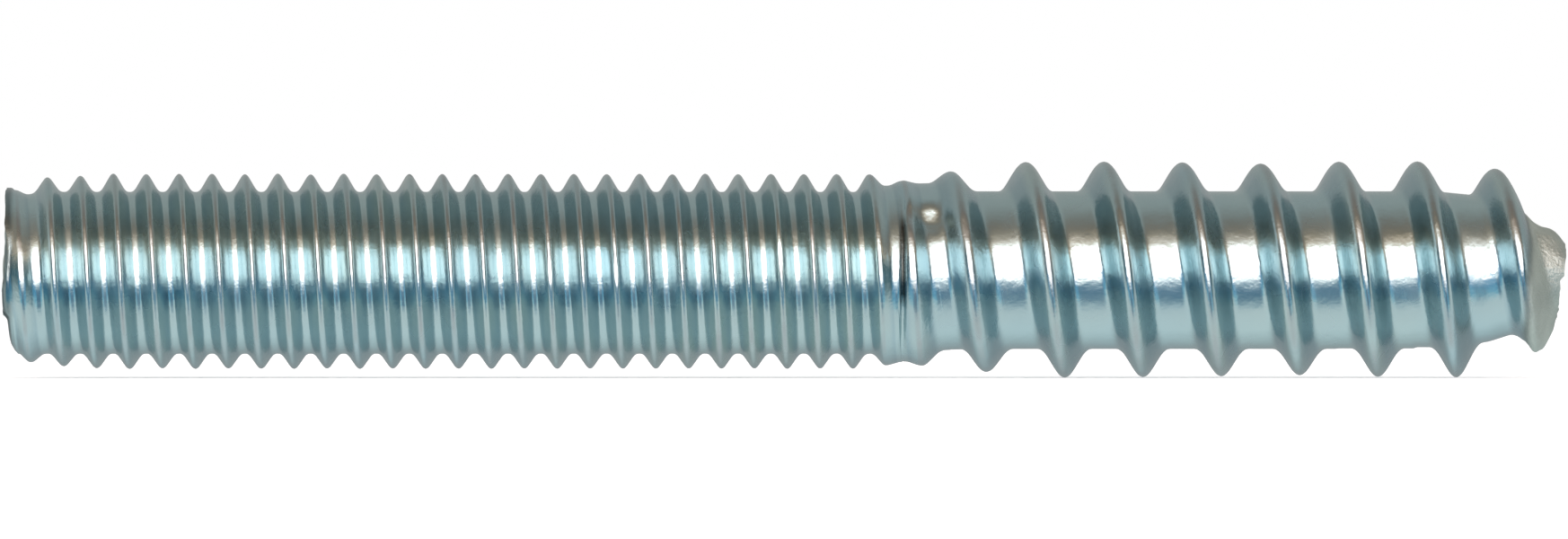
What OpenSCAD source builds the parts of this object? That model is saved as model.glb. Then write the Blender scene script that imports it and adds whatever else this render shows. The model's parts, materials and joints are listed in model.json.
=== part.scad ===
// Hanger bolt: a double-ended stud, cold rolled from one length of steel rod.
// A 3/8-16 machine thread fills one end, a coarse wood thread with a blunt point fills the other,
// and a short plain shank is left between them. Both threads are right-handed.
// The axis lies along X: the origin is the centre of the machine end face, and the point is at +X.

/* [Stud] */
// Length from the machine end face to the point
stud_length = 75.5; // [60:0.1:110]
// Diameter of the plain shank between the threads
shank_d = 8.54; // [8.2:0.02:9.2]
// Turns in which one thread gives way to the other
shank_turns = 1.47; // [1:0.01:2]

/* [Machine thread] */
// Length from the end face to the last groove
machine_length = 43.4; // [30:0.1:50]
// Diameter over the crests
machine_d = 9.4; // [9.2:0.05:9.6]
// Diameter at the bottom of the groove
machine_root_d = 7.68; // [7.4:0.02:8]
// Distance from crest to crest
machine_pitch = 1.5875; // [1.5:0.0125:2]
// Width of the flat on each crest
machine_crest_w = 0.16; // [0.1:0.02:0.3]
// Diameter over the crests where the lead-in starts, at the end face
machine_end_d = 7.8; // [7.6:0.1:8.6]
// Length of the lead-in taper over the first crests
machine_lead_in = 1.9; // [1:0.1:4]
// Bevel round the end face
machine_bevel = 0.3; // [0.1:0.05:0.6]

/* [Wood thread] */
// Diameter over the crests
wood_d = 10.36; // [9.8:0.02:11]
// Diameter of the core between the ridges
wood_root_d = 7.54; // [7.2:0.02:8]
// Distance from crest to crest
wood_pitch = 3.79; // [3.2:0.01:4.5]
// Width of the rounded land on each crest
wood_crest_w = 0.4; // [0.3:0.05:0.7]
// Height of the fillet between a ridge and the core
wood_fillet = 0.22; // [0.1:0.02:0.3]

/* [Point] */
// Diameter of the nub at the cut end
point_d = 3.5; // [2.5:0.1:5]
// Length of the nub
nub_length = 1.5; // [0.5:0.1:2.5]
// Length of the core's taper, nub included
point_taper = 6.3; // [4:0.1:9]
// Length over which the crest of the last turns falls away
point_lead_in = 4.3; // [3:0.1:7]
// Lean of the sheared end from square, in degrees
point_cut_angle = 7; // [0:1:15]
// Bevel round the sheared end
point_bevel = 0.35; // [0.1:0.05:0.8]

/* [Detail] */
// Flats round each turn
flats = 24; // [16:4:36]

/* [Hidden] */
flank_angle = 30;      // half of the 60 degree thread angle
machine_fillet = 0.11; // height of the rounding at the bottom of the groove
fillet_spread = 1.3;   // width of each fillet over its height
spare_turns = 1.5;     // turns past each end, which the end cuts remove
rows = 6;              // points across one turn
machine_crest_r = machine_d / 2;
machine_root_r = machine_root_d / 2;
wood_crest_r = wood_d / 2;
wood_root_r = wood_root_d / 2;
shank_r = shank_d / 2;
point_r = point_d / 2;
nub_r = point_r * 1.22;
shank_run = shank_turns * (machine_pitch + wood_pitch) / 2;
wood_turns = (stud_length - machine_length - shank_run) / wood_pitch;
first_turn = -ceil((machine_length / machine_pitch + spare_turns) * flats) / flats;
last_turn = ceil((shank_turns + wood_turns + spare_turns) * flats) / flats;
steps = round((last_turn - first_turn) * flats);

// Axial position of the helix after so many turns, counted from the end of the machine thread.
// The pitch grows steadily from the machine thread's to the wood thread's across the shank.
function helix_x(turn) = machine_length + (
    turn < 0 ? turn * machine_pitch
    : turn < shank_turns ? turn * machine_pitch
        + (wood_pitch - machine_pitch) * turn * turn / (2 * shank_turns)
    : shank_run + (turn - shank_turns) * wood_pitch);

// Share of the wood thread in the section: 0 in the machine thread, 1 in the wood thread.
function wood_share(turn) = min(1, max(0, turn / shank_turns));

function blend(a, b, share) = a + (b - a) * share;

// How far the core has tapered in at a distance from the cut end.
function taper(from_end) = wood_root_r - lookup(from_end, [
    [0, point_r],
    [nub_length, nub_r],
    [1.5 * nub_length, blend(nub_r, wood_root_r, 0.5)],
    [0.6 * point_taper, blend(nub_r, wood_root_r, 0.85)],
    [point_taper, wood_root_r]]);

// Radius of a groove by its own turn, half a turn from the ridges on both sides of it:
// the machine thread's groove runs out into the shank, and the next one drops to the wood core.
function groove_r(groove) = lookup(groove, [
    [-1, machine_root_r],
    [-0.2 * shank_turns, shank_r],
    [0.35 * shank_turns, shank_r],
    [0.47 * shank_turns, wood_root_r]]);

// Radius over the ridge: it rises at the end face, sinks at the shank and falls away at the point.
function crest_r(turn) = turn < -1 ? lookup(helix_x(turn), [
        [-machine_pitch, machine_root_r],
        [0, machine_end_d / 2],
        [machine_lead_in, machine_crest_r]])
    : min(
        lookup(turn, [
            [-1, machine_crest_r],
            [0, blend(shank_r, machine_crest_r, 0.25)],
            [1.4 * shank_turns, wood_crest_r]]),
        lookup(stud_length - helix_x(turn), [
            [0.1 * point_lead_in, point_r],
            [0.28 * point_lead_in, blend(wood_root_r, wood_crest_r, 0.1)],
            [point_lead_in, wood_crest_r]]));

// Half of a ridge as [distance from its middle, share of its height], from the crest to the core.
function half_ridge(crest_w, height, fillet) =
    let(knee = crest_w / 2 + (height - fillet) * tan(flank_angle))
    [[crest_w / 2, 1], [knee, fillet / height], [knee + fillet * fillet_spread, 0]];

machine_ridge = half_ridge(machine_crest_w, machine_crest_r - machine_root_r, machine_fillet);
wood_ridge = half_ridge(wood_crest_w, wood_crest_r - wood_root_r, wood_fillet);

// The six rows run from the near foot of a ridge over its crest to the far foot.
function row_side(row) = row < rows / 2 ? -1 : 1;
function row_place(row) = row < rows / 2 ? rows / 2 - 1 - row : row - rows / 2;
function row_turn(row, share) = row_side(row) * blend(
    machine_ridge[row_place(row)].x / machine_pitch,
    wood_ridge[row_place(row)].x / wood_pitch, share);
function row_height(row, share) = blend(
    machine_ridge[row_place(row)].y, wood_ridge[row_place(row)].y, share);

function thread_point(step, row) =
    let(
        turn = first_turn + (step + 0.5) / flats,
        share = wood_share(turn),
        here = turn + row_turn(row, share),
        root_r = groove_r(turn + row_side(row) / 2) - taper(stud_length - helix_x(here)),
        r = blend(root_r, crest_r(turn), row_height(row, share)),
        angle = 90 + 360 * turn)
    [helix_x(here), r * cos(angle), r * sin(angle)];

// One strip winds round the axis from end to end, each turn joined to the next along its foot.
module threads() {
    last = steps - flats;
    points = concat(
        [for (step = [0 : steps], row = [0 : rows - 1]) thread_point(step, row)],
        [[helix_x(first_turn) - 2 * machine_pitch, 0, 0],
         [helix_x(last_turn) + 2 * wood_pitch, 0, 0]]);
    near = len(points) - 2;
    far = len(points) - 1;
    function at(step, row) = row == rows ? (step + flats) * rows : step * rows + row;
    faces = concat(
        [for (step = [0 : steps - 1], row = [0 : rows - 1])
            if (row < rows - 1 || step < last)
                each [[at(step, row), at(step + 1, row), at(step + 1, row + 1)],
                      [at(step, row), at(step + 1, row + 1), at(step, row + 1)]]],
        [for (step = [0 : flats - 1]) [near, at(step + 1, 0), at(step, 0)]],
        [for (row = [0 : rows - 1]) [near, at(0, row), at(0, row + 1)]],
        [for (step = [last : steps - 1]) [far, at(step, rows - 1), at(step + 1, rows - 1)]],
        [for (row = [0 : rows - 2]) [far, at(steps, row + 1), at(steps, row)]],
        [[far, at(steps, 0), at(last, rows - 1)]]);
    polyhedron(points = points, faces = faces);
}

// The outline left by the two end cuts, each with its bevel.
module cut_rod() {
    bar_r = wood_crest_r * 1.1;
    rotate([0, 90, 0]) rotate_extrude($fn = 96) polygon([
        [0, 0],
        [machine_end_d / 2 - machine_bevel, 0],
        [bar_r, bar_r - machine_end_d / 2 + machine_bevel],
        [bar_r, stud_length - point_bevel],
        [nub_r, stud_length - point_bevel],
        [point_r - point_bevel, stud_length],
        [0, stud_length]]);
}

// The block that the shears take off the point, leaning from the upper edge of the nub.
module shear_block() {
    translate([stud_length, 0, point_r - point_bevel])
        rotate([0, point_cut_angle, 0])
            translate([0, -wood_d, -2 * wood_d]) cube([wood_d, 2 * wood_d, 4 * wood_d]);
}

module stud() {
    color([0.62, 0.68, 0.68])
    intersection() {
        threads();
        difference() {
            cut_rod();
            shear_block();
        }
    }
}

stud();
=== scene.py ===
"""The finished hanger bolt: rolled threads, sheared ends and bright zinc plate.

The threads are one helical strip, made from the same sizes as the solid but much finer. Shapes are
worked out in millimetres and turned into metres when the mesh is made. Angles go round the stud's
axis: 0 is at the back, a quarter turn is on top and half a turn is at the front.
"""
import json
import math

import bmesh
import bpy
import numpy as np
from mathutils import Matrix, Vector


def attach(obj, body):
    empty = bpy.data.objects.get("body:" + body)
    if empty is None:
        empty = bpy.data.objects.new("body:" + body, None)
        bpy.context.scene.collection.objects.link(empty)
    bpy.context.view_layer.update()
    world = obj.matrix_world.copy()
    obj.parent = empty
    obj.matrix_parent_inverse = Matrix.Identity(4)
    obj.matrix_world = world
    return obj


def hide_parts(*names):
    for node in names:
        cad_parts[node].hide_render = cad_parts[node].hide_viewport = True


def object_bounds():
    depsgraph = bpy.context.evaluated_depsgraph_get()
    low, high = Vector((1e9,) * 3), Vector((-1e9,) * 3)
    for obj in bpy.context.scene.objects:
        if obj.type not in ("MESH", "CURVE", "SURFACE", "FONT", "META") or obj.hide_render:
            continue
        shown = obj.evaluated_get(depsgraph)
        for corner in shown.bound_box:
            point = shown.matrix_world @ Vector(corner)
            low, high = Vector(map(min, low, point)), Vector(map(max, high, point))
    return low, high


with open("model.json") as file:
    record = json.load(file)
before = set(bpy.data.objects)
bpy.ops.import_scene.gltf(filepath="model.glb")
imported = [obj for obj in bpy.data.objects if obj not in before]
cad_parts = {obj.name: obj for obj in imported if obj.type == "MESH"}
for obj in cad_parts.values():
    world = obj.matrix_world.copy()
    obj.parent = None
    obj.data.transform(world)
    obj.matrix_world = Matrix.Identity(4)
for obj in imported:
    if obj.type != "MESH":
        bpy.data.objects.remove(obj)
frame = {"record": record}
cad_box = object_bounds()

MM = 0.001
mounts = {mount["name"]: mount for mount in frame["record"]["mounts"]}

# The stud, in millimetres, with turns counted along the helix from the end of the machine thread.
STUD_LENGTH = cad_box[1].x / MM
SHANK_R = 4.27
SHANK_TURNS = 1.47
FLANK_LEAN = math.tan(math.radians(30))

# The threads. crest_slope is how the crest falls away to both sides of its middle, and the two
# rounding sizes say how far from a corner its rounding starts.
MACHINE_LENGTH = mounts["machine_thread"]["dims"]["length_mm"]
MACHINE = {
    "pitch": 1.5875,
    "crest_r": mounts["machine_thread"]["dims"]["r_mm"],
    "root_r": 3.84,
    "crest_w": 0.20,
    "crest_slope": 0.50,
    "crest_round": 0.10,
    "root_round": 0.26,
}
MACHINE_END_R = 3.9
MACHINE_LEAD_IN = 1.9

WOOD = {
    "pitch": 3.79,
    "crest_r": mounts["wood_thread"]["dims"]["r_mm"],
    "root_r": 3.77,
    "crest_w": 0.42,
    "crest_slope": 0.55,
    "crest_round": 0.22,
    "root_round": 0.50,
}
WOOD_OFF_AXIS = 0.10
WOOD_LATE_STEP = 0.13

POINT_R = 1.75
NUB_R = 2.13
NUB_LENGTH = 1.5
POINT_TAPER = 6.3
POINT_LEAD_IN = 4.3
POINT_CUT_ANGLE = math.radians(7)
POINT_BEVEL = 0.35

# Marks of the rolling dies. The ledge is placed by its height over the axis, in radii.
DIE_EDGE_X = MACHINE_LENGTH - 0.08
DIE_EDGE_DEPTH = 0.16
DIE_EDGE_WIDTH = 0.13
# Width of the painted shade in the groove at the die's edge.
DIE_SHADE_WIDTH = 0.16
LEDGE_RISE = 0.175
LEDGE_HEIGHT = 0.70
LEDGE_SPREAD = 0.092
SHALLOW_MACHINE = 0.14
SHALLOW_WOOD = 0.08

# Marks of the shear that cropped both ends.
ROLLOVER_LENGTH = 0.35
ROLLOVER_DEPTH = 0.45
BURR_HEIGHT = 0.14
BURR_SLOPE = 0.9
NECK_X = 1.15
NECK_WIDTH = 0.4
NECK_DEPTH = 0.12
BURNISHED_TOP_Z = -2.05
NUB_EDGE_IN = 2.05
NUB_EDGE_WIDTH = 0.16
NUB_EDGE_DEPTH = 0.09
NUB_STEP_Z = -0.25
NUB_DRAWN_LENGTH = 0.65
NUB_DRAWN_SHARE = 0.34
MACHINE_TEAR_REACH = 1.2
POINT_TEAR_REACH = 0.9

# Dents from lying in a bin with others.
NICKS = 26

# How finely the stud is made, and the waves in each rough field.
STEPS_PER_TURN = 72
SPARE_TURNS = 1.2
CAP_RINGS = 22
RIM_RING = 0.02
RIM_MERGE = 0.02
SHARP_EDGE = math.radians(35)
WAVES = 24

shank_run = SHANK_TURNS * (MACHINE["pitch"] + WOOD["pitch"]) / 2
wood_turns = (STUD_LENGTH - MACHINE_LENGTH - shank_run) / WOOD["pitch"]


# ---------------------------------------------------------------- shaping helpers

def blend(a, b, share):
    return a + (b - a) * share


def ease(value, start, end):
    """0 before start, 1 after end, and a smooth rise between them."""
    share = np.clip((value - start) / (end - start), 0, 1)
    return share * share * (3 - 2 * share)


def bump_at(value, middle, width):
    return np.exp(-(((value - middle) / width) ** 2))


def soft_min(a, b, rounding):
    return np.minimum(a, b) - np.maximum(rounding - np.abs(a - b), 0) ** 2 / (4 * rounding)


def soft_max(a, b, rounding):
    return -soft_min(-a, -b, rounding)


def lookup(place, table, soften):
    """Straight lines through (place, value) pairs, with the corners rounded over soften."""
    places, values = zip(*table)
    spread = np.linspace(-soften, soften, 7)
    return np.mean([np.interp(place + shift, places, values) for shift in spread], axis=0)


def rough_field(points, wavelength, seed):
    """A smooth random height from about -1 to 1, as a sum of waves in random directions."""
    draw = np.random.default_rng(seed)
    heading = draw.normal(size=(WAVES, points.shape[-1]))
    heading /= np.linalg.norm(heading, axis=1, keepdims=True)
    number = 2 * math.pi / (wavelength * draw.uniform(0.6, 1.6, WAVES))
    phase = draw.uniform(0, 2 * math.pi, WAVES)
    return np.sin(points @ (heading * number[:, None]).T + phase).sum(-1) / math.sqrt(WAVES)


def broken(points, seed, coarse, fine):
    """The roughness of torn metal: two sizes of bump, each given as (wavelength, height)."""
    coarse_bumps = rough_field(points, coarse[0], seed) * coarse[1]
    return coarse_bumps + rough_field(points, fine[0], seed + 1) * fine[1]


def wavy(value, wavelength, seed):
    """A slow wander from side to side along one direction."""
    return rough_field(np.stack([value], -1), wavelength, seed)


# ---------------------------------------------------------------- the rolled threads

def helix_x(turn):
    """Axial place of the helix: the pitch grows across the shank from the fine to the coarse."""
    growth = np.clip(turn, 0, SHANK_TURNS) ** 2 / (2 * SHANK_TURNS)
    return (
        MACHINE_LENGTH
        + MACHINE["pitch"] * np.minimum(turn, SHANK_TURNS)
        + (WOOD["pitch"] - MACHINE["pitch"]) * growth
        + WOOD["pitch"] * np.maximum(turn - SHANK_TURNS, 0)
        + WOOD_LATE_STEP * ease(turn, 7.9, 8.5)
    )


def taper(from_end):
    """How far the core has tapered in towards the point."""
    core = WOOD["root_r"]
    return core - lookup(from_end, [
        (0, POINT_R),
        (0.95 * NUB_LENGTH, NUB_R),
        (1.5 * NUB_LENGTH, blend(NUB_R, core, 0.55)),
        (0.6 * POINT_TAPER, blend(NUB_R, core, 0.85)),
        (POINT_TAPER, core),
    ], 0.25)


def groove_r(groove):
    """Radius of a groove: the machine one runs out into the shank, the next drops to the core."""
    return lookup(groove, [
        (-1, MACHINE["root_r"]),
        (-0.2 * SHANK_TURNS, SHANK_R),
        (0.35 * SHANK_TURNS, SHANK_R),
        (0.47 * SHANK_TURNS, WOOD["root_r"]),
    ], 0.06)


def crest_r(turn):
    """Radius over the ridge: it rises at the end face, sinks at the shank, falls at the point."""
    x = helix_x(turn)
    start = lookup(x, [
        (0.3 * MACHINE_LEAD_IN, MACHINE_END_R),
        (0.75 * MACHINE_LEAD_IN, blend(MACHINE_END_R, MACHINE["crest_r"], 0.72)),
        (2.5 * MACHINE_LEAD_IN, MACHINE["crest_r"]),
    ], 0.3)
    rise = lookup(turn, [
        (-1, MACHINE["crest_r"]),
        (0, blend(SHANK_R, MACHINE["crest_r"], 0.25)),
        (1.4 * SHANK_TURNS, WOOD["crest_r"]),
    ], 0.12)
    fall = lookup(STUD_LENGTH - x, [
        (0.1 * POINT_LEAD_IN, POINT_R),
        (0.28 * POINT_LEAD_IN, blend(WOOD["root_r"], WOOD["crest_r"], 0.1)),
        (POINT_LEAD_IN, WOOD["crest_r"]),
    ], 0.15)
    return np.where(turn < -1, start, np.minimum(rise, fall)) + crest_wander(turn)


def shallow_side(turn, angle):
    """The dies bit a little less deep underneath, most of all along the machine thread."""
    depth = blend(SHALLOW_MACHINE, SHALLOW_WOOD, ease(turn, -1, 1))
    return ease(-np.sin(angle), 0, 1) * depth * ease(-turn, -7.5, -6)


def crest_wander(turn):
    """The dies fill the crests unevenly, and a little less round the middle of the wood thread."""
    wood = ease(turn, SHANK_TURNS, SHANK_TURNS + 1)
    uneven = wavy(turn, 1.7, 3) * blend(0.012, 0.03, wood)
    return uneven + wood * (0.05 - 0.10 * bump_at(turn, 5.0, 1.3))


def half_ridge(thread):
    """Distances from mid ridge to mid groove, and at each the share of the ridge's height."""
    height = thread["crest_r"] - thread["root_r"]
    base = thread["crest_w"] / 2 + height * FLANK_LEAN
    brow = thread["crest_w"] / 2 + thread["crest_round"] * FLANK_LEAN
    foot_in = base - thread["root_round"] * FLANK_LEAN
    foot_out = base + thread["root_round"] * FLANK_LEAN
    distance = np.concatenate([
        np.linspace(0, brow, 5),
        np.linspace(brow, foot_in, 4)[1:],
        np.linspace(foot_in, foot_out, 6)[1:],
        np.linspace(foot_out, thread["pitch"] / 2, 4)[1:],
    ])
    flank = (base - distance) / FLANK_LEAN
    apex = 0.25 * thread["crest_w"]
    gable = height - thread["crest_slope"] * (np.sqrt(distance ** 2 + apex ** 2) - apex)
    ridge = soft_min(flank, gable, thread["crest_round"])
    filled = soft_max(ridge, np.zeros_like(ridge), thread["root_round"])
    return distance, filled / filled[0]


def both_sides(half):
    """The near side from the groove up to the ridge, then the far side without its last row."""
    return np.concatenate([half[:0:-1], half[:-1]])


def thread_surface():
    """The strip as a grid of points, one line of rows for each step along the helix."""
    first = -math.ceil((MACHINE_LENGTH / MACHINE["pitch"] + SPARE_TURNS) * STEPS_PER_TURN)
    last = math.ceil((SHANK_TURNS + wood_turns + SPARE_TURNS) * STEPS_PER_TURN)
    turn = np.arange(first, last + 1)[:, None] / STEPS_PER_TURN
    share = np.clip(turn / SHANK_TURNS, 0, 1)
    machine_at, machine_up = half_ridge(MACHINE)
    wood_at, wood_up = half_ridge(WOOD)
    side = np.where(np.arange(2 * len(wood_at) - 2) < len(wood_at) - 1, -1, 1)
    offset = side * blend(both_sides(machine_at) / MACHINE["pitch"],
                          both_sides(wood_at) / WOOD["pitch"], share)
    height = blend(both_sides(machine_up), both_sides(wood_up), share)
    x = helix_x(turn + offset)
    angle = np.broadcast_to(math.pi / 2 + 2 * math.pi * turn, x.shape)
    root = groove_r(turn + side / 2) - taper(STUD_LENGTH - x) + shallow_side(turn, angle)
    r = blend(root, crest_r(turn), height)
    across = blend(both_sides(machine_at), both_sides(wood_at), share)
    return x, r, angle, across, height


def rolled_marks(x, r, angle):
    """Marks of the dies: the edge where the machine die ends, and a small ledge on the shank."""
    front = np.clip(-np.cos(angle), 0, 1)
    mostly_front = 0.15 + 0.85 * ease(front, 0.3, 0.8)
    edge = DIE_EDGE_DEPTH * bump_at(x, DIE_EDGE_X, DIE_EDGE_WIDTH) * mostly_front
    past = x - MACHINE_LENGTH
    above = (np.sin(angle) - LEDGE_HEIGHT) / LEDGE_SPREAD
    step = LEDGE_RISE * above * np.exp(0.5 - above ** 2 / 2)
    ledge = step * ease(past, 0.0, 0.35) * ease(-past, -1.9, -1.4)
    return r - edge + ledge * (front > 0)


def machine_end_marks(x, r, angle):
    """What cropping did to the machine end: rolled over below, a burr and a neck above."""
    upper = ease(np.sin(angle), 0.1, 0.8)
    inward = np.clip(1 - x / ROLLOVER_LENGTH, 0, 0.98)
    past_rollover = np.maximum(x - ROLLOVER_LENGTH, 0)
    bevel = MACHINE_END_R - ROLLOVER_DEPTH * (1 - np.sqrt(1 - inward ** 2)) * (1 - upper)
    r = np.where(x < 2, soft_min(r, bevel + past_rollover, 0.08), r)
    burr = MACHINE_END_R + BURR_HEIGHT - BURR_SLOPE * past_rollover
    r = np.where(x < 1, blend(r, soft_max(r, burr, 0.05), upper), r)
    return r - NECK_DEPTH * upper * bump_at(x, NECK_X, NECK_WIDTH)


def nub_marks(x, r, angle):
    """What cropping did to the point: drawn down on top, rough, and creased where threads stop."""
    top = np.clip(np.sin(angle), 0, 1)
    from_end = np.clip((STUD_LENGTH - x) / NUB_DRAWN_LENGTH, 0, 1)
    r = r * (1 - NUB_DRAWN_SHARE * top * (1 - from_end) ** 2)
    edge = nub_edge(angle)
    points = np.stack([x, 2 * np.cos(angle), 2 * np.sin(angle)], -1)
    rough = broken(points, 31, (0.9, 0.030), (0.5, 0.016))
    return r + rough * ease(x, edge, edge + 0.4) - NUB_EDGE_DEPTH * bump_at(x, edge, NUB_EDGE_WIDTH)


def nub_edge(angle):
    """Where the threads stop and the sheared nub begins: not quite square to the axis."""
    return STUD_LENGTH - NUB_EDGE_IN + 0.10 * np.sin(3 * angle) + 0.05 * np.sin(7 * angle + 1)


def strip_faces(steps, rows):
    """The strip's quads, and those of the seam that joins each turn to the next."""
    index = np.arange(steps * rows).reshape(steps, rows)
    sheet = np.stack([index[:-1, :-1], index[:-1, 1:], index[1:, 1:], index[1:, :-1]], -1)
    turn = STEPS_PER_TURN
    seam = np.stack([index[:-turn - 1, -1], index[turn:-1, 0], index[turn + 1:, 0],
                     index[1:-turn, -1]], -1)
    return np.concatenate([sheet.reshape(-1, 4), seam]).tolist()


def strip_mesh():
    """The threads as a bmesh, longer than the stud at both ends."""
    x, r, angle, across, height = thread_surface()
    r = nub_marks(x, machine_end_marks(x, rolled_marks(x, r, angle), angle), angle)
    y, z = r * np.cos(angle), r * np.sin(angle)
    z = z + WOOD_OFF_AXIS * ease(x, MACHINE_LENGTH, MACHINE_LENGTH + shank_run)
    mesh = bpy.data.meshes.new("stud_strip")
    mesh.from_pydata(np.stack([x, y, z], -1).reshape(-1, 3).tolist(), [], strip_faces(*x.shape))
    blank = np.zeros_like(r)
    # The last value is painted shade, filled in later.
    painted = {"across": across, "ridge": height, "dull": blank, "torn": blank, "grime": blank}
    for name, values in painted.items():
        layer = mesh.attributes.new(name, "FLOAT", "POINT")
        layer.data.foreach_set("value", values.astype(np.float32).ravel())
    made = bmesh.new()
    made.from_mesh(mesh)
    bpy.data.meshes.remove(mesh)
    return made


# ---------------------------------------------------------------- the sheared ends

def cut_end(made, place, away):
    """Cuts the strip square across, and returns the edge that is left in order round the axis."""
    geometry = made.verts[:] + made.edges[:] + made.faces[:]
    cut = bmesh.ops.bisect_plane(made, geom=geometry, plane_co=place, plane_no=away,
                                 clear_outer=True, dist=1e-5)
    rim = [v for v in cut["geom_cut"] if isinstance(v, bmesh.types.BMVert)]
    bmesh.ops.remove_doubles(made, verts=rim, dist=RIM_MERGE)
    rim = [v for v in rim if v.is_valid and v.is_boundary]
    centre = sum((v.co for v in rim), Vector()) / len(rim)
    rim.sort(key=lambda v: math.atan2(v.co.z - centre.z, v.co.y - centre.y))
    return rim, centre


def cap_end(made, rim, centre):
    """Closes a cut with rings of faces that shrink to its centre, the first close to the edge."""
    caps = []
    outer = rim
    for ring in range(1, CAP_RINGS):
        scale = 1 - (RIM_RING if ring == 1 else ring / CAP_RINGS)
        inner = [made.verts.new(centre.lerp(v.co, scale)) for v in rim]
        for k in range(len(rim)):
            after = (k + 1) % len(rim)
            caps.append(made.faces.new((outer[k], outer[after], inner[after], inner[k])))
        outer = inner
    middle = made.verts.new(centre)
    for k in range(len(rim)):
        caps.append(made.faces.new((outer[k], outer[(k + 1) % len(rim)], middle)))
    return caps


def machine_end_tear(y, z):
    """How far the sheared machine end face lies in from its plane: burnished below, torn above."""
    rough = broken(np.stack([y, z], -1), 11, (1.3, 0.024), (0.8, 0.016))
    lower_step = 0.05 * ease(z, -0.6 + 0.1 * wavy(y, 2.2, 14), -0.3)
    torn = 0.03 + lower_step + 0.07 * ease(z, 0.5, 0.8)
    burnished = 0.22 + 0.10 * (-2 - z) + 0.30 * ease(-z, 3.0, 4.3) ** 2
    border = BURNISHED_TOP_Z + 0.12 * wavy(y, 2.2, 13)
    return blend(np.maximum(torn + rough, 0), burnished, ease(border - z, -0.04, 0.10))


def point_lean(z):
    """How far past the stud's length the leaning cut at the point lies, at a height."""
    return (z - POINT_R + POINT_BEVEL) * math.tan(POINT_CUT_ANGLE)


def point_tear(y, z):
    """How far the sheared end of the nub lies in from its leaning plane: a step half way down."""
    rough = broken(np.stack([y, z], -1), 21, (0.9, 0.035), (0.6, 0.018))
    upper = -0.05 - 0.13 * ease(-z, -1.1, 0.1)
    lower = -0.42 + 0.015 * (z + 2.6)
    border = NUB_STEP_Z + 0.10 * wavy(y, 2.2, 23)
    level = blend(upper, lower, ease(border - z, -0.10, 0.14))
    return level - point_lean(z) + rough * ease(-z, -1.3, 0.2)


def shape_ends(made):
    """Moves both cut faces to their torn shape, and the threads near them a little less."""
    made.verts.ensure_lookup_table()
    x, y, z = np.array([v.co for v in made.verts]).T
    near_machine = np.clip(1 - x / MACHINE_TEAR_REACH, 0, 1) ** 2
    from_point = STUD_LENGTH + point_lean(z) - x
    near_point = np.clip(1 - from_point / POINT_TEAR_REACH, 0, 1) ** 2
    x = x + machine_end_tear(y, z) * near_machine + point_tear(y, z) * near_point
    for vert, value in zip(made.verts, x):
        vert.co.x = value


def nick_crests(made):
    """Small dents along the crests, as studs get in a bin."""
    draw = np.random.default_rng(5)
    ridge = made.verts.layers.float["ridge"]
    crests = [v for v in made.verts if v[ridge] > 0.985 and 2 < v.co.x < STUD_LENGTH - 3]
    at = np.array([v.co for v in crests])
    for _ in range(NICKS):
        middle = at[draw.integers(len(at))]
        size = draw.uniform(0.18, 0.45)
        depth = draw.uniform(0.02, 0.07)
        reach = np.linalg.norm(at - middle, axis=1)
        for k in np.flatnonzero(reach < 2 * size):
            sink = depth * math.exp(-((reach[k] / size) ** 2))
            crests[k].co.y *= 1 - sink / MACHINE["crest_r"]
            crests[k].co.z *= 1 - sink / MACHINE["crest_r"]


def is_torn(co):
    """Whether a place on a sheared face is torn. The rest was burnished by the blade."""
    if co.x < STUD_LENGTH / 2:
        return co.z > BURNISHED_TOP_Z
    return co.z < NUB_STEP_Z - 0.05


def die_edge_shade(x, y, z):
    """Painted shade: a dark line in the groove at the end of the machine die, across the front."""
    along = ease(z, -1.75, -1.15) * ease(-z, -2.9, -2.1)
    return bump_at(x, DIE_EDGE_X, DIE_SHADE_WIDTH) * ease(-y, 2.2, 3.2) * along


def painted_shade_at(x, y, z, edge):
    """How much painted shade darkens a place: in the groove at the die's edge, in the crease where
    the nub begins, and along the machine end's edge.
    """
    # Painted shade in the crease where the threads stop.
    crease = 0.45 * bump_at(x, edge, NUB_EDGE_WIDTH)
    # Painted shade along the rim of the machine end.
    machine_end = 0.55 * ease(-x, -0.60, -0.30)
    return die_edge_shade(x, y, z) + crease + machine_end


def mark_finish(made):
    """Values that the finishes read: how dull the plate is, how much painted shade darkens it, and
    where it is torn.
    """
    dull = made.verts.layers.float["dull"]
    torn = made.verts.layers.float["torn"]
    grime = made.verts.layers.float["grime"]
    for v in made.verts:
        edge = nub_edge(math.atan2(v.co.z, v.co.y))
        v[grime] = float(painted_shade_at(*v.co, edge))
        v[dull] = float(ease(v.co.x, edge - NUB_EDGE_WIDTH, edge + NUB_EDGE_WIDTH))
        v[torn] = float(is_torn(v.co))


def keep_rims_sharp(ends):
    """Shades the rim of each end face as an edge wherever it is sharp."""
    for rim, _ in ends:
        for edge in {e for v in rim for e in v.link_edges}:
            if len(edge.link_faces) == 2 and edge.calc_face_angle() > SHARP_EDGE:
                edge.smooth = False


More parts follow.
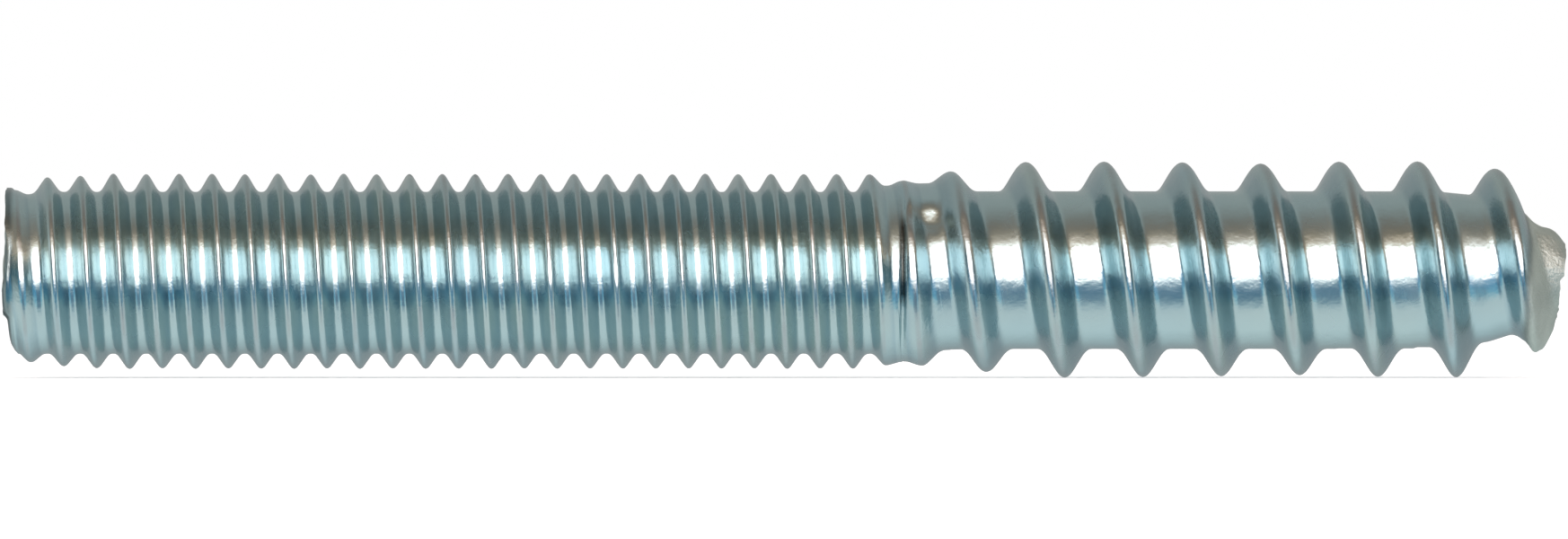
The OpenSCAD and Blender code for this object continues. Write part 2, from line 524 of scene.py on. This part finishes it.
def stud_mesh():
    """The whole stud as one closed mesh, with its sheared faces in the second material slot."""
    made = strip_mesh()
    away = Vector((math.cos(POINT_CUT_ANGLE), 0, -math.sin(POINT_CUT_ANGLE)))
    ends = [
        cut_end(made, Vector((0, 0, 0)), Vector((-1, 0, 0))),
        cut_end(made, Vector((STUD_LENGTH, 0, POINT_R - POINT_BEVEL)), away),
    ]
    for rim, centre in ends:
        for face in cap_end(made, rim, centre):
            face.material_index = 1
    bmesh.ops.recalc_face_normals(made, faces=made.faces)
    nick_crests(made)
    shape_ends(made)
    mark_finish(made)
    for face in made.faces:
        face.smooth = True
    keep_rims_sharp(ends)
    bmesh.ops.scale(made, vec=(MM, MM, MM), verts=made.verts)
    mesh = bpy.data.meshes.new("rolled_stud")
    made.to_mesh(mesh)
    made.free()
    return mesh


def stud_piece(zinc, sheared):
    """The stud in one piece, dressed in its two finishes."""
    mesh = stud_mesh()
    mesh.materials.append(zinc)
    mesh.materials.append(sheared)
    piece = bpy.data.objects.new("rolled_stud", mesh)
    bpy.context.scene.collection.objects.link(piece)
    return piece


# ---------------------------------------------------------------- finishes

# What each part of the plate mirrors back.
PLATE_BLUE = (0.35, 0.49, 0.53, 1)
PLATE_GREEN = (0.41, 0.525, 0.52, 1)
PLATE_IN_GROOVE = (0.40, 0.54, 0.56, 1)
PLATE_ON_FLANK = (0.32, 0.45, 0.485, 1)
PLATE_RUBBED = (0.35, 0.41, 0.42, 1)
NUB_DARK = (0.37, 0.435, 0.41, 1)
NUB_PALE = (0.51, 0.59, 0.55, 1)
TORN_DARK = (0.34, 0.41, 0.39, 1)
TORN_PALE = (0.49, 0.57, 0.54, 1)
BURNISHED = (0.45, 0.53, 0.51, 1)
# Painted shade, laid into a few grooves and along the machine end's edge.
PAINTED_SHADE_BLACK = (0.03, 0.035, 0.03, 1)


def new_group(name, inputs, outputs):
    """An empty node group with its sockets: inputs (name, start value), outputs by name."""
    group = bpy.data.node_groups.new(name, "ShaderNodeTree")
    for label, start in inputs:
        socket = group.interface.new_socket(
            label, in_out="INPUT", socket_type="NodeSocketFloat")
        socket.default_value = start
    for label in outputs:
        group.interface.new_socket(label, in_out="OUTPUT", socket_type="NodeSocketFloat")
    return group, group.nodes.new("NodeGroupInput"), group.nodes.new("NodeGroupOutput")


def add(tree, kind, settings=None, **inputs):
    """A node with its settings. Inputs are values or sockets, by name or as _ and a number."""
    node = tree.nodes.new(kind)
    for key, value in (settings or {}).items():
        setattr(node, key, value)
    for key, value in inputs.items():
        socket = node.inputs[int(key[1:])] if key[0] == "_" else node.inputs[key.replace("_", " ")]
        if isinstance(value, bpy.types.NodeSocket):
            tree.links.new(value, socket)
        else:
            socket.default_value = value
    return node


def math_node(tree, operation, a, b):
    return add(tree, "ShaderNodeMath", {"operation": operation}, _0=a, _1=b).outputs[0]


def noise(tree, vector, scale, detail):
    return add(tree, "ShaderNodeTexNoise", None, Vector=vector, Scale=scale,
               Detail=detail).outputs["Fac"]


def ramp(tree, value, low, high):
    """0 at low and 1 at high, evenly between, and held past both."""
    return add(tree, "ShaderNodeMapRange", None, Value=value,
               From_Min=low, From_Max=high).outputs[0]


def mix_colour(tree, share, a, b):
    return add(tree, "ShaderNodeMix", {"data_type": "RGBA"}, _0=share, _6=a, _7=b).outputs[2]


def mix_value(tree, share, a, b):
    return add(tree, "ShaderNodeMix", {"data_type": "FLOAT"}, _0=share, _2=a, _3=b).outputs[0]


def attribute(tree, name):
    """A value that is painted on the mesh."""
    return add(tree, "ShaderNodeAttribute", {"attribute_name": name}).outputs["Fac"]


def object_place(tree):
    return add(tree, "ShaderNodeTexCoord").outputs["Object"]


def relief(tree, height, strength, depth, under=None):
    """A bump of a depth in metres, laid over the relief under it."""
    node = add(tree, "ShaderNodeBump", None, Height=height, Strength=strength, Distance=depth)
    if under is not None:
        tree.links.new(under, node.inputs["Normal"])
    return node.outputs[0]


def principled(name, **settings):
    material = bpy.data.materials.new(name)
    material.use_nodes = True
    tree = material.node_tree
    shader = tree.nodes["Principled BSDF"]
    for key, value in settings.items():
        shader.inputs[key.replace("_", " ")].default_value = value
    return material, tree, shader


def connect(tree, shader, colour, roughness, normal):
    tree.links.new(colour, shader.inputs["Base Color"])
    tree.links.new(roughness, shader.inputs["Roughness"])
    tree.links.new(normal, shader.inputs["Normal"])


def place_group(tree, group, **values):
    """A node group in a material, with its own values."""
    node = tree.nodes.new("ShaderNodeGroup")
    node.node_tree = group
    for key, value in values.items():
        node.inputs[key.replace("_", " ")].default_value = value
    return node


def metal_grain_group():
    """Fine pitting of the plate: a height for the bump, and a mask that varies gloss and colour."""
    group, given, out = new_group(
        "metal_grain", [("Grain Size", 0.2), ("Patch Size", 2.0)], ["Height", "Patches"])
    place = object_place(group)
    fine = math_node(group, "DIVIDE", 1 / MM, given.outputs["Grain Size"])
    wide = math_node(group, "DIVIDE", 1 / MM, given.outputs["Patch Size"])
    group.links.new(noise(group, place, fine, 3.0), out.inputs["Height"])
    group.links.new(ramp(group, noise(group, place, wide, 2.0), 0.3, 0.7), out.inputs["Patches"])
    return group


def rolling_lines_group():
    """Fine lines that the dies leave along the thread, as a height for the bump."""
    group, given, out = new_group("rolling_lines", [("Line Width", 0.08)], ["Height"])
    across = attribute(group, "across")
    place = add(group, "ShaderNodeSeparateXYZ", None, Vector=object_place(group))
    slow = 0.25 / MM
    lines = add(group, "ShaderNodeCombineXYZ", None,
                X=math_node(group, "DIVIDE", across, given.outputs["Line Width"]),
                Y=math_node(group, "MULTIPLY", place.outputs["Y"], slow),
                Z=math_node(group, "MULTIPLY", place.outputs["Z"], slow))
    group.links.new(noise(group, lines.outputs[0], 1.0, 2.0), out.inputs["Height"])
    return group


def plate_colour(tree, grained, broad, dull):
    """Patchy blue, paler in the grooves, deeper on the flanks, grey where rubbed and on the nub,
    and darkened by painted shade in a few grooves and along the machine end.
    """
    ridge = attribute(tree, "ridge")
    patches = grained.outputs["Patches"]
    plated = mix_colour(tree, broad.outputs["Patches"], PLATE_BLUE, PLATE_GREEN)
    in_groove = math_node(tree, "MULTIPLY", ramp(tree, ridge, 0.5, 0.05), 0.6)
    plated = mix_colour(tree, in_groove, plated, PLATE_IN_GROOVE)
    past_brow = ramp(tree, attribute(tree, "across"), 0.3, 0.55)
    on_flank = math_node(tree, "MULTIPLY", past_brow, ramp(tree, ridge, 0.05, 0.2))
    plated = mix_colour(tree, on_flank, plated, PLATE_ON_FLANK)
    rubbed = math_node(tree, "MULTIPLY", ramp(tree, ridge, 0.90, 1.0), patches)
    plated = mix_colour(tree, rubbed, plated, PLATE_RUBBED)
    plated = mix_colour(tree, dull, plated, mix_colour(tree, patches, NUB_DARK, NUB_PALE))
    # Painted shade: black in the groove at the die's edge, in the crease of the nub and along the
    # machine end.
    return mix_colour(tree, attribute(tree, "grime"), plated, PAINTED_SHADE_BLACK)


def plate_relief(tree, grained, broad, dull, lines):
    """Waves in the plate, the lines of the dies over them, and pits, which are deep on the nub."""
    waves = relief(tree, broad.outputs["Height"], 0.5, 0.06 * MM)
    line_height = place_group(tree, lines, Line_Width=0.07).outputs["Height"]
    scored = relief(tree, line_height, 0.35, 0.012 * MM, waves)
    pit_depth = mix_value(tree, dull, 0.007 * MM, 0.06 * MM)
    return relief(tree, grained.outputs["Height"], 1.0, pit_depth, scored)


def zinc_plate(grain, lines):
    """Bright zinc with a thin blue passivation, glossy on the threads and rough on the nub."""
    material, tree, shader = principled("zinc_plate", Metallic=1.0)
    grained = place_group(tree, grain, Grain_Size=0.16, Patch_Size=2.6)
    broad = place_group(tree, grain, Grain_Size=0.9, Patch_Size=6.0)
    dull = attribute(tree, "dull")
    gloss = mix_value(tree, grained.outputs["Patches"], 0.20, 0.30)
    connect(tree, shader,
            colour=plate_colour(tree, grained, broad, dull),
            roughness=mix_value(tree, dull, gloss, 0.62),
            normal=plate_relief(tree, grained, broad, dull, lines))
    return material


def sheared_zinc(grain):
    """The plate over the sheared ends: grainy where torn, scored where the blade rubbed."""
    material, tree, shader = principled("sheared_zinc", Metallic=1.0)
    grained = place_group(tree, grain, Grain_Size=0.26, Patch_Size=1.1)
    torn = attribute(tree, "torn")
    fracture = mix_colour(tree, grained.outputs["Patches"], TORN_DARK, TORN_PALE)
    drawn_out = add(tree, "ShaderNodeMapping", None, Vector=object_place(tree),
                    Scale=(1.0, 1.0, 0.06)).outputs[0]
    scores = noise(tree, drawn_out, 7 / MM, 3.0)
    scored = relief(tree, scores, mix_value(tree, torn, 0.7, 0.25), 0.03 * MM)
    grains = math_node(tree, "MULTIPLY", grained.outputs["Height"], torn)
    connect(tree, shader,
            colour=mix_colour(tree, torn, BURNISHED, fracture),
            roughness=mix_value(tree, torn, 0.36, 0.55),
            normal=relief(tree, grains, 1.0, 0.09 * MM, scored))
    return material


# ---------------------------------------------------------------- studio

# How the picture is framed, in pixels, with the stud along one row, and the rest in metres.
PICTURE = (1746, 600)
PIXELS_PER_MM = 23.046
LEFT_MARGIN_PX = 4.5
AXIS_ROW_PX = 302.1
CAMERA_AWAY = 0.8
CAMERA_TURN = math.radians(1.3)

FLOOR_REACH = 3.0
CARD_AWAY = 0.9
CARD_STEPS = 120
WHITE = (1.0, 1.0, 1.0, 1.0)
PAPER_DARK = (0.93, 0.93, 0.93, 1)
PAPER_PALE = (0.96, 0.96, 0.96, 1)
STUD_MIDDLE = STUD_LENGTH / 2 * MM

# Colours of the cards, each with its angle in degrees up from straight ahead of the stud.
CEILING = [
    (34, (1.50, 1.12, 0.85)),
    (42, (1.15, 0.72, 0.50)),
    (50, (0.40, 0.27, 0.18)),
    (62, (0.32, 0.23, 0.18)),
    (78, (0.36, 0.31, 0.28)),
    (95, (0.45, 0.43, 0.41)),
    (112, (0.52, 0.51, 0.49)),
    (183, (0.46, 0.46, 0.45)),
]
# Painted shadow: darker towards straight below and behind, for the stud's own shadow on the floor,
# which the metal doesn't mirror.
UNDER_SIDE = [
    (-183, (0.36, 0.38, 0.38)),
    (-150, (0.46, 0.49, 0.50)),
    (-125, (0.72, 0.78, 0.79)),
    (-100, (1.00, 1.04, 1.05)),
    (-58, (1.00, 1.00, 1.00)),
]
TABLE_EDGE = [
    (-58, (1.00, 1.00, 1.00)),
    (-52, (0.70, 0.80, 0.85)),
    (-44, (0.28, 0.40, 0.50)),
    (-36, (0.14, 0.27, 0.40)),
    (-24, (0.14, 0.28, 0.42)),
    (-18, (0.45, 0.60, 0.75)),
]
TABLE_SIDE = [
    (-46, (0.80, 1.00, 1.00)),
    (-38, (0.32, 0.70, 0.88)),
    (-30, (0.15, 0.47, 0.74)),
    (-18, (0.09, 0.39, 0.65)),
    (-8, (0.08, 0.31, 0.49)),
]
FAR_SIDE = [
    (-58, (0.90, 0.95, 0.95)),
    (-46, (0.62, 0.70, 0.72)),
    (-34, (0.28, 0.36, 0.38)),
    (-8, (0.10, 0.17, 0.19)),
]
DARK_SIDE = [
    (-8, (0.06, 0.22, 0.32)),
    (8, (0.08, 0.16, 0.18)),
    (34, (0.10, 0.16, 0.17)),
]


def studio_camera():
    """A long lens, nearly square on to the stud, which spans the picture."""
    lens = bpy.data.cameras.new("studio_camera")
    lens.sensor_width = 36
    picture_width = PICTURE[0] / PIXELS_PER_MM * MM
    lens.lens = lens.sensor_width * CAMERA_AWAY / picture_width
    lens.clip_start = 0.01
    camera = bpy.data.objects.new("studio_camera", lens)
    target = Vector((
        (PICTURE[0] / 2 - LEFT_MARGIN_PX) / PIXELS_PER_MM * MM,
        0,
        (AXIS_ROW_PX - PICTURE[1] / 2) / PIXELS_PER_MM * MM,
    ))
    back = Vector((math.sin(CAMERA_TURN), math.cos(CAMERA_TURN), 0))
    camera.location = target - CAMERA_AWAY * back
    camera.rotation_euler = (math.pi / 2, 0, -CAMERA_TURN)
    bpy.context.scene.collection.objects.link(camera)
    bpy.context.scene.camera = camera


def soft_lamp(name, degrees_up, away, width, height, brightness, colour):
    """An even panel of light that faces the stud, at an angle up from straight ahead."""
    lamp = bpy.data.lights.new(name, "AREA")
    lamp.shape = "RECTANGLE"
    lamp.size, lamp.size_y = width, height
    lamp.energy = brightness * math.pi * width * height
    lamp.color = colour
    panel = bpy.data.objects.new(name, lamp)
    up = math.radians(degrees_up)
    outward = Vector((0, -math.cos(up), math.sin(up)))
    panel.location = Vector((STUD_MIDDLE, 0, 0)) + outward * away
    panel.rotation_euler = outward.to_track_quat("Z", "Y").to_euler()
    panel.visible_camera = False
    bpy.context.scene.collection.objects.link(panel)


def glow(name):
    """A material that shines with the shades painted on a card."""
    material = bpy.data.materials.new(name)
    material.use_nodes = True
    tree = material.node_tree
    tree.nodes.remove(tree.nodes["Principled BSDF"])
    shade = add(tree, "ShaderNodeAttribute", {"attribute_name": "shade"}).outputs["Color"]
    light = add(tree, "ShaderNodeEmission", None, Color=shade, Strength=1.0)
    tree.links.new(light.outputs[0], tree.nodes["Material Output"].inputs["Surface"])
    return material


def bent_card(name, shades, width, aside):
    """The mesh of a card that is bent round the stud's axis, with its shades painted on."""
    degrees = np.linspace(shades[0][0], shades[-1][0], CARD_STEPS)
    middle = STUD_MIDDLE + aside
    points = [(middle + side * width / 2, -CARD_AWAY * math.cos(a), CARD_AWAY * math.sin(a))
              for a in np.radians(degrees) for side in (-1, 1)]
    faces = [(2 * k, 2 * k + 1, 2 * k + 3, 2 * k + 2) for k in range(CARD_STEPS - 1)]
    mesh = bpy.data.meshes.new(name)
    mesh.from_pydata(points, [], faces)
    places, colours = zip(*shades)
    tint = mesh.attributes.new("shade", "FLOAT_COLOR", "POINT")
    for k, at in enumerate(degrees):
        mixed = [float(np.interp(at, places, channel)) for channel in zip(*colours)]
        for corner in (2 * k, 2 * k + 1):
            tint.data[corner].color = (*mixed, 1)
    return mesh


def reflector(name, shades, width, aside=0.0):
    """A card that only the metal sees, some way to one side of the stud's middle."""
    mesh = bent_card(name, shades, width, aside)
    mesh.materials.append(glow(name))
    card = bpy.data.objects.new(name, mesh)
    bpy.context.scene.collection.objects.link(card)
    for sight in ("visible_camera", "visible_diffuse", "visible_shadow", "visible_transmission"):
        setattr(card, sight, False)


def seen(tree):
    """1 for what the camera or a shiny surface sees, 0 for light that only falls on things."""
    rays = add(tree, "ShaderNodeLightPath")
    mirrored = math_node(tree, "MAXIMUM", rays.outputs["Is Glossy Ray"],
                         rays.outputs["Is Transmission Ray"])
    return math_node(tree, "MAXIMUM", rays.outputs["Is Camera Ray"], mirrored)


def studio_world():
    """Even white all round, for the background and for what the metal mirrors."""
    world = bpy.data.worlds.new("studio_world")
    world.use_nodes = True
    tree = world.node_tree
    tree.nodes.clear()
    strength = mix_value(tree, seen(tree), 0.9, 1.0)
    sky = add(tree, "ShaderNodeBackground", None, Color=WHITE, Strength=strength)
    out = tree.nodes.new("ShaderNodeOutputWorld")
    tree.links.new(sky.outputs[0], out.inputs["Surface"])
    bpy.context.scene.world = world


def white_paper():
    """Matt paper that glows a little, so that it stays as white as the background."""
    material, tree, shader = principled("white_paper", Roughness=0.9, Specular_IOR_Level=0.0)
    fibres = noise(tree, object_place(tree), 0.4 / MM, 3.0)
    tree.links.new(mix_colour(tree, fibres, PAPER_DARK, PAPER_PALE), shader.inputs["Base Color"])
    tree.links.new(mix_value(tree, seen(tree), 0.0, 0.22), shader.inputs["Emission Strength"])
    shader.inputs["Emission Color"].default_value = WHITE
    return material


def pale_floor():
    """White paper under the stud, which keeps its shadow. The metal doesn't mirror it."""
    level = cad_box[0].z
    mesh = bpy.data.meshes.new("paper_floor")
    corners = [(-1, -1), (1, -1), (1, 1), (-1, 1)]
    mesh.from_pydata([(x * FLOOR_REACH, y * FLOOR_REACH, level) for x, y in corners], [],
                     [(0, 1, 2, 3)])
    mesh.materials.append(white_paper())
    floor = bpy.data.objects.new("paper_floor", mesh)
    bpy.context.scene.collection.objects.link(floor)
    floor.visible_glossy = False


def studio():
    """One wide warm panel in front, and cards above, below, behind and to the sides."""
    studio_camera()
    studio_world()
    pale_floor()
    soft_lamp("front_softbox", degrees_up=10.5, away=0.7, width=1.15, height=0.55,
              brightness=3.2, colour=(1.30, 1.0, 0.96))
    reflector("studio_ceiling", CEILING, width=5.0)
    reflector("under_side", UNDER_SIDE, width=5.0)
    reflector("table_edge", TABLE_EDGE, width=0.5)
    for side in (-1, 1):
        reflector("table_side", TABLE_SIDE, width=0.95, aside=0.725 * side)
        reflector("far_side", FAR_SIDE, width=2.4, aside=2.4 * side)
        reflector("dark_side", DARK_SIDE, width=4.0, aside=2.7 * side)


# ---------------------------------------------------------------- assembly

bpy.context.scene.view_settings.view_transform = "Standard"
studio()
grain = metal_grain_group()
rolled_stud = stud_piece(zinc_plate(grain, rolling_lines_group()), sheared_zinc(grain))
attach(rolled_stud, "root")
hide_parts("stud")
